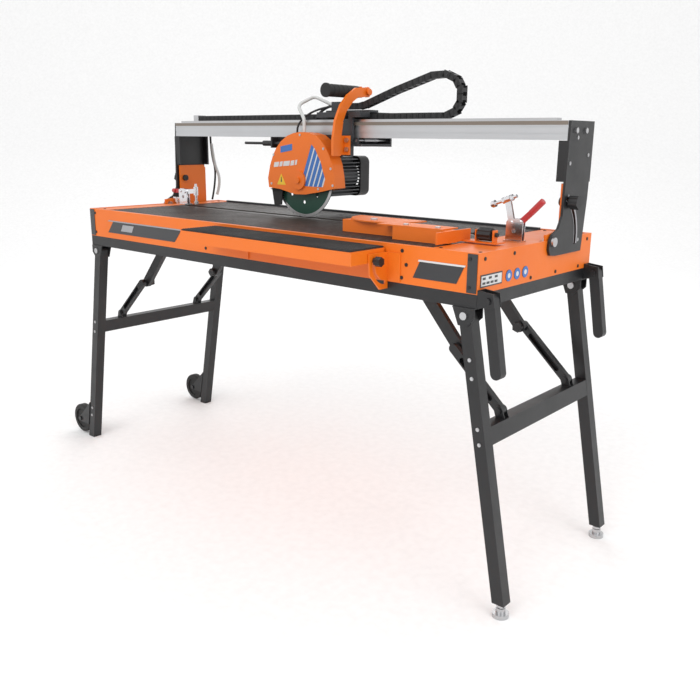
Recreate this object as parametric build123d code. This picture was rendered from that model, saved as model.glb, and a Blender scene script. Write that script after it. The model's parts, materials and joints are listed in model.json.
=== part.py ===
from build123d import *
import math
import os

os.makedirs("parts", exist_ok=True)

# Wet tile saw on folding legs. Drawn in millimetres about the middle of the tray at floor level:
# X along the cut, -Y the operator's side, Z up. Every node is moved at the end so that the origin
# is the middle of the bottom of the machine's bounding box.

# ---- driving dimensions -------------------------------------------------------------------------
tray_length = 1460.0
tray_depth = 529.0
tray_top = 808.0
tray_height = 86.0
sheet = 2.5
rim_width = 12.0
rail = 30.0
rail_wall = 2.0
table_top_z = 806.0
table_thick = 22.0
groove_width = 6.0
groove_depth = 4.0
groove_pitch = 18.0
blade_y = 42.0
slot_front = 5.0
slot_rear = 20.0

pivot_z = 805.0
post_thick = 6.0
post_top = 1078.0
post_gap = 1.0
slot_radius = 112.0
slot_half = 5.2
stud_radius = 4.8
support_thick = 5.0
beam_front = 88.0
beam_depth = 110.0
beam_height = 44.0
beam_wall = 4.0
strip_thick = 6.0

blade_radius = 115.0
blade_thick = 2.4
arbor_x = -66.0
arbor_z = 922.0
arbor_radius = 12.7
guard_front = 20.0
guard_rear = 64.0
guard_wall = 3.0
motor_radius = 57.0
motor_front = 75.0
motor_length = 150.0
fan_length = 46.0
motor_half = 58.0
slide_gap = 0.4
plunge = 10.0

leg = 30.0
leg_wall = 2.0
leg_pivot_z = 674.0
leg_slope = 134.0 / 700.0
crossbar_z = 412.0
crossbar_height = 40.0
brace_width = 30.0
brace_thick = 14.0
brace_y = 150.0
pin_radius = 4.0
fit = 0.05
wheel_radius = 50.0
wheel_width = 25.0
wheel_z = 54.0

flap_length = 585.0
flap_left = -100.0
flap_depth = 120.0
flap_top = 802.0
flap_height = 34.0

half_l = tray_length / 2
half_d = tray_depth / 2
platform_inner = half_l - 130.0
platform_left = -(half_l - 74.0)
table_left = platform_left + 4.0
table_right = platform_inner - 5.0
table_end = 12.0
pocket_length = 300.0
pocket_web = 10.0
drain_x = 170.0 - half_l
pump_x = 118.0 - half_l
support_top = 936.0
leg_pivot_x = half_l - 28.0
brace_top = (leg_pivot_x - 207.0, 703.0)
brace_mid = (leg_pivot_x - 89.0, 567.0)
brace_low = (leg_pivot_x + 41.0, 447.0)
tray_floor = tray_top - tray_height


# ---- shapes used over and over ------------------------------------------------------------------
def block(x0, x1, y0, y1, z0, z1):
    box = Box(abs(x1 - x0), abs(y1 - y0), abs(z1 - z0))
    return Pos((x0 + x1) / 2, (y0 + y1) / 2, (z0 + z1) / 2) * box


def rod(axis, x, y, z, radius, length):
    turn = {"x": Rot(0, 90, 0), "y": Rot(90, 0, 0), "z": Rot(0, 0, 0)}[axis]
    return Pos(x, y, z) * turn * Cylinder(radius, length)


def ring(axis, x, y, z, radius, bore, length):
    return rod(axis, x, y, z, radius, length) - rod(axis, x, y, z, bore, length + 2)


def plate_xz(points, y0, y1):
    face = make_face(Polyline([(x, y0, z) for x, z in points], close=True))
    return extrude(face, amount=y1 - y0, dir=(0, 1, 0))


def plate_yz(points, x0, x1):
    face = make_face(Polyline([(x0, y, z) for y, z in points], close=True))
    return extrude(face, amount=x1 - x0, dir=(1, 0, 0))


def link(p, q, width, y0, y1):
    # A flat bar between two pivots, full round at both ends.
    run = math.hypot(q[0] - p[0], q[1] - p[1])
    nx = -(q[1] - p[1]) / run * width / 2
    nz = (q[0] - p[0]) / run * width / 2
    corners = [(p[0] + nx, p[1] + nz), (q[0] + nx, q[1] + nz)]
    corners += [(q[0] - nx, q[1] - nz), (p[0] - nx, p[1] - nz)]
    body = plate_xz(corners, y0, y1)
    for x, z in (p, q):
        body += rod("y", x, (y0 + y1) / 2, z, width / 2, y1 - y0)
    return body


def along(p, q, share):
    return (p[0] + (q[0] - p[0]) * share, p[1] + (q[1] - p[1]) * share)


def square_tube(x0, x1, y0, y1, z0, z1, axis, wall):
    outer = block(x0, x1, y0, y1, z0, z1)
    grow = {"x": (1, -wall, -wall), "y": (-wall, 1, -wall), "z": (-wall, -wall, 1)}[axis]
    gx, gy, gz = grow
    return outer - block(x0 - gx, x1 + gx, y0 - gy, y1 + gy, z0 - gz, z1 + gz)


def bolt(axis, x, y, z, shank, length, head, head_len, side):
    # Shank centred on the point, hexagon head on the side (+1 or -1) of its axis.
    offset = (length + head_len) / 2 * side
    at = {"x": (x + offset, y, z), "y": (x, y + offset, z), "z": (x, y, z + offset)}[axis]
    turn = {"x": Rot(0, 90, 0), "y": Rot(90, 0, 0), "z": Rot(0, 0, 0)}[axis]
    hexagon = extrude(RegularPolygon(head, 6), amount=head_len / 2, both=True)
    return rod(axis, x, y, z, shank, length) + Pos(*at) * turn * hexagon


def star_knob(axis, x, y, z, radius, length, lobes):
    turn = {"x": Rot(0, 90, 0), "y": Rot(90, 0, 0), "z": Rot(0, 0, 0)}[axis]
    body = Cylinder(radius * 0.86, length)
    for i in range(lobes):
        angle = 2 * math.pi * i / lobes
        body += Pos(radius * 0.78 * math.cos(angle), radius * 0.78 * math.sin(angle), 0) * Cylinder(
            radius * 0.22, length
        )
    return Pos(x, y, z) * turn * body


def mirror_x(shape):
    return mirror(shape, about=Plane.YZ)


nodes = {}


def keep(name, *shapes):
    nodes[name] = Compound(children=[s for shape in shapes for s in shape.solids()])


# ---- tray, frame and table ----------------------------------------------------------------------
def tray_basin():
    body = block(-half_l, half_l, -half_d, half_d, tray_floor, tray_top)
    inner = block(-half_l + sheet, half_l - sheet, -half_d + sheet, half_d - sheet, tray_floor + sheet, tray_top + 1)
    body -= inner
    # rolled rims along both long sides and both ends
    for s in (-1, 1):
        body += block(-half_l, half_l, s * (half_d - rim_width), s * half_d, tray_top - sheet, tray_top)
        body += block(s * (half_l - 7.0), s * half_l, -half_d, half_d, tray_top - sheet, tray_top)
        notch = block(s * (half_l - 9.0), s * (half_l + 1.0), blade_y - 7.0, blade_y + 7.0, pivot_z - 7.0, tray_top + 1)
        body -= notch
        # the end rim stops short of the bevel support
        body -= block(s * (half_l - 9.0), s * (half_l - sheet), 22.0, 206.0, tray_top - 8.0, tray_top + 1)
        body -= rod("x", s * half_l, 180.0, 790.0, 5.2, 20.0)
    # drain hole in the floor near the left end
    body -= rod("z", drain_x, 60.0, tray_floor, 14.0, 20.0)
    return body


def corner_strips():
    found = []
    for sx in (-1, 1):
        for sy in (-1, 1):
            front = block(
                sx * (half_l - 26.0), sx * (half_l - 2.0), sy * (half_d + 0.2), sy * (half_d + 1.6),
                tray_floor + 2.0, tray_top - 2.0
            )
            found.append(front)
    return found


def frame_rails():
    z0, z1 = tray_floor - rail, tray_floor - 0.1
    body = None
    for s in (-1, 1):
        y0, y1 = sorted((s * (half_d - rail), s * half_d))
        tube = square_tube(-half_l, half_l, y0, y1, z0, z1, "x", rail_wall)
        body = tube if body is None else body + tube
    for x in (-half_l + rail / 2, half_l - rail / 2):
        y = half_d - rail
        body += square_tube(x - rail / 2, x + rail / 2, -y, y, z0, z1, "y", rail_wall)
    return body


def table_top():
    rear = 238.0
    front = -half_d + sheet + rim_width + 2.0
    z0 = table_top_z - table_thick
    body = block(table_left, table_right, front, rear, z0, table_top_z)
    y = front + groove_pitch
    while y < rear - groove_pitch / 2:
        if abs(y - blade_y) > groove_pitch * 1.4:
            groove = (y - groove_width / 2, y + groove_width / 2, table_top_z - groove_depth, 900.0)
            body -= block(table_left - 1.0, table_right + 1.0, *groove)
        y += groove_pitch
    start, stop = table_left + table_end, table_right - table_end
    body -= block(start, stop, blade_y - slot_front, blade_y + slot_rear, z0 + 4.0, 900.0)
    # hollow underneath so that it is a ribbed casting, not a slab
    x0 = start
    while x0 < stop - 2 * pocket_web:
        x1 = min(x0 + pocket_length, stop)
        body -= block(x0, x1, front + 10.0, blade_y - slot_front - 8.0, z0 - 1.0, table_top_z - 9.0)
        body -= block(x0, x1, blade_y + slot_rear + 8.0, rear - 10.0, z0 - 1.0, table_top_z - 9.0)
        x0 = x1 + pocket_web
    return body


def table_supports():
    z1 = table_top_z - table_thick - 0.1
    found = []
    for x in (table_left + 152.0, 0.0, table_right - 145.0):
        wall = block(x - 12.0, x + 12.0, -half_d + sheet + 0.1, half_d - sheet - 0.1, z1 - 18.0, z1)
        wall += block(x - 12.0, x + 12.0, -220.0, -190.0, tray_floor + sheet + 0.1, z1)
        wall += block(x - 12.0, x + 12.0, 190.0, 220.0, tray_floor + sheet + 0.1, z1)
        found.append(wall)
    return found


def rear_splash_bar():
    return block(table_left, table_right, 238.3, 249.0, 789.0, 812.0)


def end_platforms():
    right = block(platform_inner, half_l - 8.0, -half_d + 16.0, half_d - 16.0, 793.0, 806.5)
    right -= block(platform_inner + 3.0, half_l - 11.0, -half_d + 19.0, half_d - 19.0, 792.0, 803.5)
    left = block(-half_l + 8.0, platform_left, -half_d + 16.0, half_d - 16.0, 793.0, 806.5)
    left -= block(-half_l + 11.0, platform_left - 3.0, -half_d + 19.0, half_d - 19.0, 792.0, 803.5)
    for y in (-150.0, 150.0):
        right += block(platform_inner + 20.0, half_l - 30.0, y - 8.0, y + 8.0, tray_floor + sheet + 0.1, 804.0)
        left += block(-half_l + 20.0, platform_left - 16.0, y - 8.0, y + 8.0, tray_floor + sheet + 0.1, 804.0)
    # clearance for the bevel supports
    cut = block(half_l - 18.0, half_l, 18.0, 212.0, 760.0, 820.0)
    return right - cut, left - mirror_x(cut)


def front_plates():
    y1 = -half_d - 0.1
    y0 = y1 - 0.8
    left = plate_xz([(-631.0, 739.0), (-600.0, 775.0), (-257.0, 775.0), (-290.0, 739.0)], y0, y1)
    right = plate_xz([(564.0, 739.0), (582.0, 777.0), (696.0, 777.0), (678.0, 739.0)], y0, y1)
    rating = block(half_l + 0.1, half_l + 0.9, -255.0, -168.0, 735.0, 762.0)
    round_signs = [rod("x", half_l + 0.5, y, 748.0, 13.0, 0.8) for y in (-140.0, -104.0, -68.0)]
    return [left, right, rating] + round_signs


def drain_plug():
    z = tray_floor
    return rod("z", drain_x, 60.0, z, 13.9, 6.0) + rod("z", drain_x, 60.0, z - 5.5, 19.0, 5.0) + rod(
        "z", drain_x, 60.0, z + 6.0, 18.0, 4.0
    )


def water_pump():
    z0 = tray_floor + sheet + 0.2
    body = block(pump_x - 28.0, pump_x + 27.0, 120.0, 180.0, z0, z0 + 40.0) + rod("z", pump_x, 150.0, z0 + 43.0, 18.0, 10.0)
    return body + rod("x", pump_x + 34.0, 150.0, z0 + 20.0, 6.0, 20.0)


# ---- bridge that tilts for bevel cuts ------------------------------------------------------------
def slot_tool(x0, x1, grow):
    # Curved slot about the bevel pivot as a chain of short straight pieces with round corners.
    low, high, steps = -5.0, 58.0, 10
    body = None
    for i in range(steps + 1):
        a = math.radians(low + (high - low) * i / steps)
        y = blade_y + slot_radius * math.cos(a)
        z = pivot_z + slot_radius * math.sin(a)
        dot = rod("x", (x0 + x1) / 2, y, z, slot_half + grow, x1 - x0)
        body = dot if body is None else body + dot
    outer = rod("x", (x0 + x1) / 2, blade_y, pivot_z, slot_radius + slot_half + grow, x1 - x0)
    outer -= rod("x", (x0 + x1) / 2, blade_y, pivot_z, slot_radius - slot_half - grow, x1 - x0 + 2)
    reach = 200.0
    corners = [(blade_y, pivot_z)]
    for share in (0.0, 0.5, 1.0):
        a = math.radians(low + (high - low) * share)
        corners.append((blade_y + reach * math.cos(a), pivot_z + reach * math.sin(a)))
    arc = outer & plate_yz(corners, x0 - 1, x1 + 1)
    return arc + body


post_outline = [
    (90.0, post_top), (212.0, post_top), (206.0, 900.0), (192.0, 771.0), (60.0, 771.0),
    (34.0, 774.0), (26.0, 788.0), (28.0, 808.0), (40.0, 821.0), (66.0, 834.0), (82.0, 862.0),
    (86.0, 1000.0),
]


def post(side):
    x0 = half_l + post_gap
    x1 = x0 + post_thick
    body = plate_yz(post_outline, x0, x1)
    # returned edges above the tray stiffen the plate
    body += block(x1 - 26.0, x1, 206.0, 212.0, support_top + 1.0, post_top)
    body += block(x1 - 26.0, x1, 86.0, 90.0, 940.0, beam_low - 1.0)
    body -= slot_tool(x0 - 1, x1 + 1, 0.0)
    body -= rod("x", (x0 + x1) / 2, blade_y, pivot_z, 6.0 + fit, post_thick + 2)
    for y in (115.0, 165.0):
        body -= rod("x", (x0 + x1) / 2, y, 1056.0, 4.2, post_thick + 2)
    return body if side > 0 else mirror_x(body)


def support(side):
    x1 = half_l - sheet - 0.1
    x0 = x1 - support_thick
    outline = [(24.0, 770.0), (204.0, 770.0), (204.0, support_top - 10.0), (196.0, support_top), (92.0, support_top), (92.0, 828.0), (24.0, 822.0)]
    body = plate_yz(outline, x0, x1)
    body -= rod("x", x0, blade_y, pivot_z, 6.0 + fit, 20.0)
    stud_y, stud_z = stud_place()
    body -= rod("x", x0, stud_y, stud_z, stud_radius + fit, 20.0)
    body -= rod("x", x0, 180.0, 790.0, 5.2, 20.0)
    return body if side > 0 else mirror_x(body)


def stud_place():
    a = math.radians(51.9)
    return blade_y + slot_radius * math.cos(a), pivot_z + slot_radius * math.sin(a)


def pivot_bolts():
    found = []
    x_in = half_l - sheet - support_thick - 0.1
    x_out = half_l + post_gap + post_thick
    for s in (-1, 1):
        mid = s * (x_in + x_out) / 2
        pin = rod("x", mid, blade_y, pivot_z, 6.0, x_out - x_in + 12.0)
        pin += rod("x", s * (x_out + 3.6), blade_y, pivot_z, 11.0, 6.0)
        pin += rod("x", s * (x_in - 3.6), blade_y, pivot_z, 10.0, 6.0)
        found.append(pin)
        low = rod("x", s * (half_l - 3.0), 180.0, 790.0, 5.0, 14.0 - 6.0)
        low += rod("x", s * (x_in - 3.3), 180.0, 790.0, 9.0, 6.0)
        low += rod("x", s * (x_in + 2.0), 180.0, 790.0, 5.0, 10.0)
        found.append(low)
    return found


def bevel_lock(side):
    stud_y, stud_z = stud_place()
    x_in = half_l - sheet - support_thick - 0.1
    x_out = half_l + post_gap + post_thick
    mid = side * (x_in + x_out) / 2
    body = rod("x", mid, stud_y, stud_z, stud_radius, x_out - x_in + 16.0)
    body += star_knob("x", side * (x_out + 14.4), stud_y, stud_z, 17.0, 22.0, 5)
    body += rod("x", side * (x_in - 4.4), stud_y, stud_z, 10.0, 8.0)
    return body


def bevel_slot_trim(side):
    x0 = half_l + post_gap + post_thick + 0.1
    body = slot_tool(x0, x0 + 1.0, 5.5) - slot_tool(x0 - 1, x0 + 2.0, 0.4)
    return body if side > 0 else mirror_x(body)


def bridge_beam():
    x = half_l + post_gap - 0.1
    z0 = post_top - beam_height
    body = square_tube(-x, x, beam_front, beam_front + beam_depth, z0, post_top, "x", beam_wall)
    # running grooves on the front and rear faces
    for z in (z0 + 14.0, z0 + 30.0):
        body -= block(-x - 1, x + 1, beam_front - 1, beam_front + 1.5, z - 1.5, z + 1.5)
    # screw bosses inside the hollow
    for s in (-1, 1):
        for y in (115.0, 165.0):
            x0, x1 = sorted((s * (x - 40.0), s * x))
            body += block(x0, x1, y - 9.0, y + 9.0, z0 + 2.0, post_top - 2.0)
            body -= rod("x", s * (x - 12.0), y, 1056.0, 4.0 + fit, 30.0)
    return body


def beam_strip():
    return block(-700.0, 700.0, beam_front + 2.0, beam_front + 26.0, post_top + 0.1, post_top + strip_thick)


def beam_bolts():
    x_out = half_l + post_gap + post_thick
    found = []
    for s in (-1, 1):
        for y in (115.0, 165.0):
            found.append(bolt("x", s * (x_out - 10.0), y, 1056.0, 4.0, 20.4, 7.0, 5.0, s))
    return found


# ---- carriage and cutting head -------------------------------------------------------------------
carriage_left, carriage_right = -43.0, 120.0
beam_rear = beam_front + beam_depth
beam_low = post_top - beam_height


def carriage_frame():
    rear = beam_rear + 16.0
    body = block(carriage_left, carriage_right, 70.0, 113.0, 1090.0, 1104.0)
    body += block(carriage_left, carriage_right, 146.0, rear, 1090.0, 1104.0)
    # bridge over the chain's low run
    body += block(carriage_left, carriage_right, 109.0, 150.0, 1104.0, tunnel_top)
    body += block(40.0, 92.0, 70.0, 78.0, 985.0, 1104.0)
    body += block(carriage_left, carriage_right, rear - 6.0, rear, 1010.0, 1104.0)
    body += block(-7.0, carriage_right, 78.0, rear, 1011.0, 1018.0)
    for x, z in top_rollers:
        body += block(x - 7.0, x + 7.0, 146.0, 150.0, post_top + 1.0, 1091.0)
    for x, z in low_rollers:
        body += block(x - 7.0, x + 7.0, 78.0, 84.0, 1012.0, beam_low - 1.0)
    # room for the handle arm when the head is lowered
    body -= block(62.0, 78.0, 69.0, 100.0, 1085.0, 1105.0)
    for x, z in top_rollers + low_rollers:
        body -= rod("y", x, 150.0, z, 4.0 + fit, 400.0)
    for x, z in slide_screw_places:
        body -= block(x - 4.6, x + 4.6, 60.0, 90.0, z - plunge - 4.6, z + 4.6)
    return body


tunnel_top = 1110.0
top_rollers = [(-25.0, post_top + 6.0), (102.0, post_top + 6.0)]
low_rollers = [(16.0, beam_low - 7.1), (100.0, beam_low - 7.1)]


slide_screw_places = [(x, z) for x in (48.0, 68.0) for z in (1006.0, 1031.0)]


def rollers():
    # Each roller turns on an axle between the carriage sides and bears on the beam.
    rear = beam_rear + 18.0
    found = []
    for x, z in top_rollers:
        found.append(rod("y", x, (144.0 + rear) / 2, z, 4.0, rear - 144.0) + rod("y", x, 175.0, z, 5.9, 30.0))
    for x, z in low_rollers:
        found.append(rod("y", x, (79.0 + rear) / 2, z, 4.0, rear - 79.0) + rod("y", x, 140.0, z, 6.9, 60.0))
    return found


def chain_path():
    # Centre line of the chain in the XZ plane: low run, turn, rising upper run to the carriage.
    low = 1092.0
    points = [(-625.0, low), (368.0, low), (400.0, 1106.0), (415.0, 1140.0), (402.0, 1176.0), (366.0, 1196.0)]
    points += [(323.0, 1196.0), (203.0, 1160.0), (100.0, 1126.0), (76.0, 1121.0), (20.0, 1121.0)]
    return points


def cable_chain():
    path = chain_path()
    y0, y1 = 116.0, 140.0
    body = None
    for p, q in zip(path, path[1:]):
        bar = link(p, q, 19.0, y0, y1)
        body = bar if body is None else body + bar
    return body


def chain_ends():
    low = block(-660.0, -635.0, 112.0, 144.0, post_top + strip_thick + 0.3, 1103.0)
    low += block(-660.0, -635.0, 128.0, 144.0, post_top, post_top + strip_thick + 0.4)
    return low


def chain_anchor():
    return block(-24.0, 10.0, 112.0, 144.0, tunnel_top + 0.1, tunnel_top + 24.0)


handle_bolt_x = 84.0
handle_bolt_heights = (1003.0, 1028.0)
grip_x = 46.0
guard_outline = [
    (-194.0, 888.0), (-198.0, 915.0), (-188.0, 953.0), (-176.0, 980.0), (-161.0, 1003.0), (-140.0, 1023.0),
    (-115.0, 1038.0), (-88.0, 1046.0), (-62.0, 1049.0), (-30.0, 1047.0), (-2.0, 1041.0), (18.0, 1028.0),
    (36.0, 1009.0), (52.0, 986.0), (63.0, 961.0), (71.0, 925.0), (74.0, 896.0), (17.0, 884.0), (-43.0, 874.0),
    (-84.0, 873.0), (-147.0, 885.0),
]


def inset(points, amount, centre):
    found = []
    for x, z in points:
        dx, dz = x - centre[0], z - centre[1]
        run = math.hypot(dx, dz)
        found.append((centre[0] + dx * (run - amount) / run, centre[1] + dz * (run - amount) / run))
    return found


def blade_guard():
    body = plate_xz(guard_outline, guard_front, guard_rear)
    inner = inset(guard_outline, guard_wall * 1.3, (arbor_x, arbor_z))
    body -= plate_xz(inner, guard_front + guard_wall, guard_rear - guard_wall)
    body -= block(-176.0, 62.0, guard_front + guard_wall, guard_rear - guard_wall, 860.0, 900.0)
    body -= rod("y", arbor_x, guard_rear, arbor_z, 30.0, 20.0)
    for x, z in guard_screws():
        body -= rod("y", x, guard_rear, z, 3.0 + fit, 20.0)
    return body


def guard_screws():
    return [(-120.0, 970.0), (-10.0, 970.0), (-66.0, 1000.0)]


def guard_boss():
    body = rod("y", arbor_x, guard_front - 3.1, arbor_z - 8.0, 27.0, 6.0)
    return body + rod("y", arbor_x, guard_front - 8.0, arbor_z - 8.0, 9.0, 6.0)


def splash_flap():
    return plate_xz([(-192.0, 886.0), (-147.0, 883.0), (-152.0, 838.0), (-182.0, 834.0)], 30.0, 34.0) + block(
        -192.0, -150.0, 24.0, 37.0, 882.0, 884.0
    )


def motor_bracket():
    y0, y1 = guard_rear + 0.2, 70.0 - slide_gap
    body = plate_xz([(-125.0, 930.0), (-125.0, 985.0), (-40.0, 1042.0), (61.0, 1042.0), (61.0, 985.0), (-5.0, 930.0)], y0, y1)
    body -= rod("y", arbor_x, y0, arbor_z, 30.0, 30.0)
    for x, z in guard_screws():
        body -= rod("y", x, guard_rear, z, 3.0 + fit, 20.0)
    # foot carrying the handle arm at the right-hand side
    body += block(60.0, 92.0, y0, y1, 985.0, 1042.0)
    for x, z in slide_screw_places:
        body -= rod("y", x, y0, z, 4.0 + fit, 20.0)
    for z in handle_bolt_heights:
        body -= rod("y", handle_bolt_x, y0, z, 4.0 + fit, 30.0)
    return body


def slide_screws():
    return [rod("y", x, 71.2, z, 4.0, 13.0) for x, z in slide_screw_places]


def guard_fixings():
    found = []
    for x, z in guard_screws():
        screw = rod("y", x, guard_rear + 0.5, z, 3.0, 10.0)
        found.append(screw + rod("y", x, guard_rear - guard_wall - 1.7, z, 6.0, 3.0))
    return found


def motor_body():
    # Square finned casing: the fins lie flat, stacked one above the other.
    y0, y1 = motor_front, motor_front + motor_length
    body = rod("y", arbor_x, (y0 + y1) / 2, arbor_z, motor_radius - 8.0, motor_length)
    for i in range(-5, 6):
        z = arbor_z + i * 10.0
        reach = motor_half - (6.0 if abs(i) == 5 else 0.0)
        body += block(arbor_x - reach, arbor_x + reach, y0 + 12.0, y1 - 4.0, z - 1.4, z + 1.4)
    for s in (-1, 1):
        body += block(arbor_x - 34.0, arbor_x + 34.0, y0 + 14.0, y1 - 6.0, *sorted(
            (arbor_z + s * 30.0, arbor_z + s * motor_half)
        ))
    body += rod("y", arbor_x, y0 + 6.0, arbor_z, motor_radius + 2.0, 12.0)
    body += rod("y", arbor_x, y0 - 2.7, arbor_z, 40.0, 5.4)
    body -= rod("y", arbor_x, y0 + 2.0, arbor_z, 24.0, 18.0)
    # the hollow for the windings and the two shaft bearings
    body -= rod("y", arbor_x, (y0 + y1) / 2, arbor_z, 38.0, motor_length - 30.0)
    body -= rod("y", arbor_x, y0 + 10.0, arbor_z, arbor_radius + fit, 40.0)
    body -= rod("y", arbor_x, y1 - 10.0, arbor_z, 9.0 + fit, 40.0)
    # capacitor box on the left side
    return body + block(arbor_x - 84.0, arbor_x - 46.0, y0 + 34.0, y0 + 122.0, arbor_z - 30.0, arbor_z + 34.0)


def fan_cover():
    y0 = motor_front + motor_length + 0.2
    y1 = y0 + fan_length
    w = motor_half + 1.5
    body = block(arbor_x - w, arbor_x + w, y0, y1, arbor_z - w, arbor_z + w)
    body = fillet(body.edges().filter_by(Axis.Y), 20.0)
    body = fillet(body.faces().sort_by(Axis.Y)[-1].edges(), 8.0)
    body -= rod("y", arbor_x, y0 + 18.0, arbor_z, motor_half - 3.0, 38.0)
    # air slots in the end face
    for i in range(-4, 5):
        body -= block(arbor_x - 34.0, arbor_x + 34.0, y1 - 12.0, y1 + 2.0, arbor_z + i * 9.0 - 2.0, arbor_z + i * 9.0 + 2.0)
    return body


def stator():
    y = motor_front + motor_length / 2
    return ring("y", arbor_x, y, arbor_z, 37.6, 22.0, 70.0)


def arbor_shaft():
    y0 = guard_front + 6.0
    y1 = motor_front + motor_length + 30.0
    body = rod("y", arbor_x, (y0 + 50.0 + y1) / 2, arbor_z, 9.0, y1 - y0 - 50.0)
    body += rod("y", arbor_x, (y0 + 106.0) / 2, arbor_z, arbor_radius, 106.0 - y0)
    body += rod("y", arbor_x, motor_front + motor_length / 2, arbor_z, 21.5, 70.0)
    body -= rod("y", arbor_x, y0 + 7.0, arbor_z, 8.0, 14.1)
    # fan blades inside the cover
    for i in range(6):
        fan = block(8.0, 44.0, -1.2, 1.2, -9.0, 9.0)
        body += Pos(arbor_x, y1 - 9.6, arbor_z) * Rot(90, 0, 0) * Rot(0, 0, 60.0 * i) * fan
    return body


def saw_blade():
    body = rod("y", arbor_x, blade_y, arbor_z, blade_radius, blade_thick)
    body -= rod("y", arbor_x, blade_y, arbor_z, arbor_radius + fit, 10.0)
    for i in range(8):
        a = math.pi / 4 * i
        x, z = arbor_x + 72.0 * math.cos(a), arbor_z + 72.0 * math.sin(a)
        body -= rod("y", x, blade_y, z, 5.0, 10.0)
    return body


def blade_flanges():
    t = blade_thick / 2
    found = []
    for s in (-1, 1):
        y = blade_y + s * (t + 2.6)
        found.append(ring("y", arbor_x, y, arbor_z, 26.0, arbor_radius + fit, 5.0))
    return found


def blade_nut():
    return bolt("y", arbor_x, guard_front + 12.0, arbor_z, 7.9, 14.0, 16.0, 5.0, -1) & block(
        -200.0, 100.0, guard_front + guard_wall + 0.3, 60.0, 800.0, 1000.0
    )


def handle_arm():
    # Hooked arm cut from thick plate, standing in the plane of the handle.
    path = [(29.0, 988.0), (29.0, 1030.0), (38.0, 1080.0), (56.0, 1114.0), (84.0, 1141.0), (112.0, 1157.0), (158.0, 1160.0)]
    widths = [32.0, 32.0, 28.0, 28.0, 26.0, 26.0]
    body = None
    for (p, q), width in zip(zip(path, path[1:]), widths):
        run = math.hypot(q[0] - p[0], q[1] - p[1])
        ny, nz = -(q[1] - p[1]) / run * width / 2, (q[0] - p[0]) / run * width / 2
        corners = [(p[0] + ny, p[1] + nz), (q[0] + ny, q[1] + nz), (q[0] - ny, q[1] - nz), (p[0] - ny, p[1] - nz)]
        bar = plate_yz(corners, 66.0, 74.0) + rod("x", 70.0, p[0], p[1], width / 2, 8.0)
        body = bar if body is None else body + bar
    body += rod("x", 70.0, 158.0, 1160.0, 14.0, 8.0)
    body = body & block(0.0, 100.0, 0.0, 200.0, 985.0, 1200.0)
    # foot bolted on the bracket
    body += block(66.0, 74.0, 40.0, 64.0, 988.0, 1040.0)
    body += block(66.0, 92.0, 58.0, 64.0, 988.0, 1040.0)
    for z in handle_bolt_heights:
        body -= rod("y", handle_bolt_x, 60.0, z, 4.0 + fit, 30.0)
    body -= rod("x", 70.0, 158.0, 1160.0, 6.0 + fit, 30.0)
    return body


def handle_bolts():
    return [bolt("y", handle_bolt_x, 63.5, z, 4.0, 12.0, 7.0, 4.0, -1) for z in handle_bolt_heights]


def handle_grip():
    # Grip along Y in front of the hook, held by a clevis at its rear end.
    body = rod("y", grip_x, 78.0, 1160.0, 17.0, 126.0)
    for i in range(6):
        body -= ring("y", grip_x, 30.0 + 19.0 * i, 1160.0, 18.0, 16.2, 3.0)
    body += rod("y", grip_x, 13.0, 1160.0, 19.0, 6.0)
    return body - rod("y", grip_x, 141.0, 1160.0, 7.0 + fit, 40.0)


def handle_clevis():
    body = block(grip_x - 13.0, grip_x + 13.0, 141.4, 150.0, 1145.0, 1175.0)
    body += rod("y", grip_x, 138.0, 1160.0, 7.0, 20.0)
    body += block(grip_x - 8.0, 65.7, 150.0, 172.0, 1148.0, 1172.0)
    return body - rod("x", 60.0, 158.0, 1160.0, 6.0 + fit, 40.0)


def clevis_pin():
    return rod("x", 65.0, 158.0, 1160.0, 6.0, 26.0) + rod("x", 80.0, 158.0, 1160.0, 9.0, 5.0)


def side_rod():
    body = rod("x", -287.0, 50.0, 1016.0, 4.0, 84.0) + rod("x", -225.0, 50.0, 1016.0, 8.0, 40.0)
    return body + rod("x", -190.0, 50.0, 1016.0, 5.0, 40.0)


def rod_bracket():
    # Angle on the back of the guard, carrying the side rod.
    y0, y1 = guard_rear + 0.2, 70.0 - slide_gap
    body = block(-203.0, -128.0, y0, y1, 1003.0, 1035.0) + block(-203.0, -197.0, 38.0, y1, 1003.0, 1035.0)
    return body - rod("x", -190.0, 50.0, 1016.0, 5.0 + fit, 60.0)


hose_radius = 5.0
hose_bend = 20.0


def water_hose():
    # Supply hose from the guard up and over to the connector on the carriage.
    points = [(-66.0, 42.0, 1049.4), (-66.0, 42.0, 1085.0), (-110.0, 60.0, 1125.0), (-80.0, 100.0, 1150.0), (-29.0, 122.0, 1126.0)]
    path = FilletPolyline(*points, radius=hose_bend)
    return sweep(Plane(origin=path @ 0, z_dir=path % 0) * Circle(hose_radius), path)


# ---- folding legs --------------------------------------------------------------------------------
def leg_centre(z):
    return leg_pivot_x + (leg_pivot_z - z) * leg_slope


def leg_tube(y_mid, bottom):
    p = (leg_centre(leg_pivot_z), leg_pivot_z)
    q = (leg_centre(bottom), bottom)
    body = link(p, q, leg, y_mid - leg / 2, y_mid + leg / 2)
    body = body & block(0.0, 1200.0, -400.0, 400.0, bottom, leg_pivot_z + leg)
    a = along(p, q, 0.06)
    b = along(p, q, 1.05)
    hollow = link(a, b, leg - 2 * leg_wall, y_mid - leg / 2 + leg_wall, y_mid + leg / 2 - leg_wall)
    return body - hollow


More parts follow.
